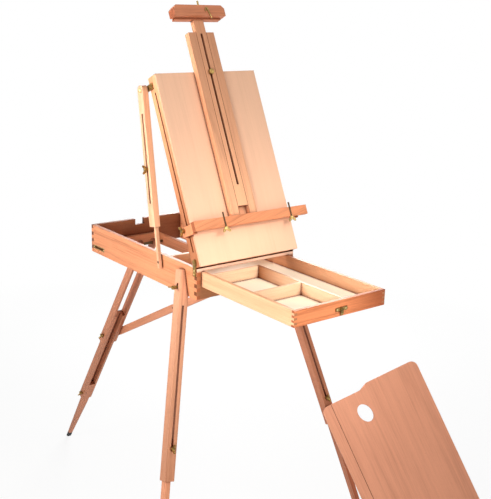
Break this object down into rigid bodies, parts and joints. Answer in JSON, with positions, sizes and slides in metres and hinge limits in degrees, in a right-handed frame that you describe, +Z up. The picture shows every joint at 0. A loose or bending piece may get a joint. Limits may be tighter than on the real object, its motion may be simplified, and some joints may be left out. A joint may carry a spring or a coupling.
{
  "type": "folding sketch-box easel",
  "caption": "Wooden folding box easel: a case with a drawer on splayed telescoping legs, a leaning lid that carries a sliding canvas mast, clamp and ledge, and a loose palette.",
  "frame": {"origin": "middle of the rear foot's sole, on the floor and in the easel's middle plane", "axes": "+X to the right of a painter standing at the easel, +Y from the painter towards the rear leg, +Z up"},
  "size_m": [1.0006, 1.4876, 1.5818],
  "materials": {
    "beech": "oiled, satin",
    "plywood": "sanded, satin",
    "palette_board": "oiled plywood, satin",
    "brass": "plated, bright",
    "rubber": "matt black"
  },
  "bodies": {
    "case": {"side_wall_left": "beech", "side_wall_right": "beech", "rear_wall": "beech", "front_frame": "beech", "channel_rails": "beech", "leg_stop_block": "beech", "strap_slot_plate": "brass", "hinge_pins": "brass", "lid_pivot_plates": "brass", "stay_screws": "brass"},
    "lid": {"lid_panel": "plywood", "lid_side_rails": "beech", "lid_cross_rails": "beech", "lid_pivot_pins": "brass", "stay_brackets": "brass", "mast_bolt": "brass"},
    "mast": {"mast_channel": "beech"},
    "slat": {"slat": "beech", "clamp_lower_bar": "beech", "clamp_upper_bar": "beech", "clamp_bolt": "brass", "clamp_hook": "brass"},
    "ledge": {"ledge_bar": "beech", "ledge_end_blocks": "beech", "ledge_wing_screws": "brass", "ledge_pins": "brass"},
    "drawer": {"drawer_front": "beech", "drawer_side_left": "beech", "drawer_side_right": "beech", "drawer_rear": "beech", "drawer_bottom": "plywood", "drawer_partition": "beech", "drawer_long_divider": "beech", "drawer_cross_divider": "beech", "latch_plate": "brass"},
    "latch_hook": {"latch_hook": "brass"},
    "rear_leg": {"rear_leg_rails": "beech", "rear_leg_wing_screw": "brass"},
    "rear_leg_middle": {"rear_leg_middle": "beech", "rear_middle_wing_screw": "brass"},
    "rear_leg_foot": {"rear_leg_foot": "beech", "rear_leg_tip": "rubber"},
    "strut_upper": {"strut_upper": "beech"},
    "strut_lower": {"strut_lower": "beech", "strut_bolts": "brass"},
    "palette": {"palette": "palette_board"},
    "stay_bar_left": {"stay_bar_left": "beech", "stay_wing_bolt_left": "brass"},
    "stay_channel_left": {"stay_channel_left": "beech"},
    "front_leg_bolt_left": {"front_leg_bolt_left": "brass"},
    "front_leg_upper_left": {"front_leg_upper_left": "beech"},
    "front_leg_lower_left": {"front_leg_lower_left": "beech", "front_leg_wing_bolt_left": "brass"},
    "stay_bar_right": {"stay_bar_right": "beech", "stay_wing_bolt_right": "brass"},
    "stay_channel_right": {"stay_channel_right": "beech"},
    "front_leg_bolt_right": {"front_leg_bolt_right": "brass"},
    "front_leg_upper_right": {"front_leg_upper_right": "beech"},
    "front_leg_lower_right": {"front_leg_lower_right": "beech", "front_leg_wing_bolt_right": "brass"}
  },
  "joints": [
    {"name": "lid_hinge", "type": "hinge", "parent": "case", "child": "lid", "pos_m": [0, -1.03344, 0.9574], "axis": [-1, 0, 0], "range_deg": [0, 65]},
    {"name": "mast_slide", "type": "slide", "parent": "lid", "child": "mast", "axis": [0, 0.4226, 0.9063], "range_m": [-0.098, 0]},
    {"name": "slat_slide", "type": "slide", "parent": "mast", "child": "slat", "axis": [0, 0.4226, 0.9063], "range_m": [0, 0.25]},
    {"name": "ledge_slide", "type": "slide", "parent": "lid", "child": "ledge", "axis": [0, 0.4226, 0.9063], "range_m": [-0.05, 0.33]},
    {"name": "stay_left_turn", "type": "hinge", "parent": "case", "child": "stay_bar_left", "pos_m": [-0.1608, -0.88284, 0.921], "axis": [-1, 0, 0], "range_deg": [0, 80.02]},
    {"name": "stay_left_slide", "type": "slide", "parent": "stay_bar_left", "child": "stay_channel_left", "axis": [0, 0.1664, 0.9861], "range_m": [-0.1361, 0]},
    {"name": "stay_right_turn", "type": "hinge", "parent": "case", "child": "stay_bar_right", "pos_m": [0.1608, -0.88284, 0.921], "axis": [-1, 0, 0], "range_deg": [0, 80.02]},
    {"name": "stay_right_slide", "type": "slide", "parent": "stay_bar_right", "child": "stay_channel_right", "axis": [0, 0.1664, 0.9861], "range_m": [-0.1361, 0]},
    {"name": "drawer_slide", "type": "slide", "parent": "case", "child": "drawer", "axis": [0, -1, 0], "range_m": [-0.353, 0.06]},
    {"name": "latch_turn", "type": "hinge", "parent": "drawer", "child": "latch_hook", "pos_m": [0, -1.39584, 0.9105], "axis": [0, -1, 0], "range_deg": [0, 90]},
    {"name": "front_leg_left_fold", "type": "hinge", "parent": "case", "child": "front_leg_bolt_left", "pos_m": [-0.1575, -0.98761, 0.884], "axis": [1, 0, 0], "range_deg": [0, 103.8]},
    {"name": "front_leg_left_splay", "type": "hinge", "parent": "front_leg_bolt_left", "child": "front_leg_upper_left", "pos_m": [-0.1579, -0.99414, 0.8574], "axis": [0, -0.9711, 0.2385], "range_deg": [0, 13.81]},
    {"name": "front_leg_left_extend", "type": "slide", "parent": "front_leg_upper_left", "child": "front_leg_lower_left", "axis": [-0.2385, -0.2316, -0.9431], "range_m": [-0.345, 0]},
    {"name": "front_leg_right_fold", "type": "hinge", "parent": "case", "child": "front_leg_bolt_right", "pos_m": [0.1575, -0.98761, 0.884], "axis": [1, 0, 0], "range_deg": [0, 103.8]},
    {"name": "front_leg_right_splay", "type": "hinge", "parent": "front_leg_bolt_right", "child": "front_leg_upper_right", "pos_m": [0.1579, -0.99414, 0.8574], "axis": [0, 0.9711, -0.2385], "range_deg": [0, 13.81]},
    {"name": "front_leg_right_extend", "type": "slide", "parent": "front_leg_upper_right", "child": "front_leg_lower_right", "axis": [0.2385, -0.2316, -0.9431], "range_m": [-0.345, 0]},
    {"name": "rear_leg_fold", "type": "hinge", "parent": "case", "child": "rear_leg", "pos_m": [0, -0.55584, 0.8725], "axis": [-1, 0, 0], "range_deg": [0, 122.5]},
    {"name": "rear_leg_extend", "type": "slide", "parent": "rear_leg", "child": "rear_leg_middle", "axis": [0, 0.5373, -0.8434], "range_m": [-0.27, 0]},
    {"name": "rear_foot_extend", "type": "slide", "parent": "rear_leg_middle", "child": "rear_leg_foot", "axis": [0, 0.5373, -0.8434], "range_m": [-0.22, 0]},
    {"name": "strut_upper_turn", "type": "hinge", "parent": "case", "child": "strut_upper", "pos_m": [0, -0.98784, 0.8725], "axis": [1, 0, 0], "range_deg": [0, 28.76]},
    {"name": "strut_knee", "type": "hinge", "parent": "strut_upper", "child": "strut_lower", "pos_m": [0, -0.65579, 0.69033], "axis": [-1, 0, 0], "range_deg": [0, 180.01]},
    {"name": "palette_lift_off", "type": "slide", "parent": "case", "child": "palette", "axis": [-0.4695, -0.8829, 0], "range_m": [0, 0.3]}
  ],
  "couplings": [
    {"joint": "stay_left_turn", "follows": "lid_hinge", "ratio": 1.2304},
    {"joint": "stay_left_slide", "follows": "lid_hinge", "m_per_rad": -0.11979},
    {"joint": "stay_right_turn", "follows": "lid_hinge", "ratio": 1.2304},
    {"joint": "stay_right_slide", "follows": "lid_hinge", "m_per_rad": -0.11979},
    {"joint": "front_leg_left_splay", "follows": "front_leg_left_fold", "ratio": 0.13295},
    {"joint": "front_leg_right_splay", "follows": "front_leg_right_fold", "ratio": 0.13295},
    {"joint": "strut_upper_turn", "follows": "rear_leg_fold", "ratio": 0.23469},
    {"joint": "strut_knee", "follows": "rear_leg_fold", "ratio": 1.4694}
  ]
}
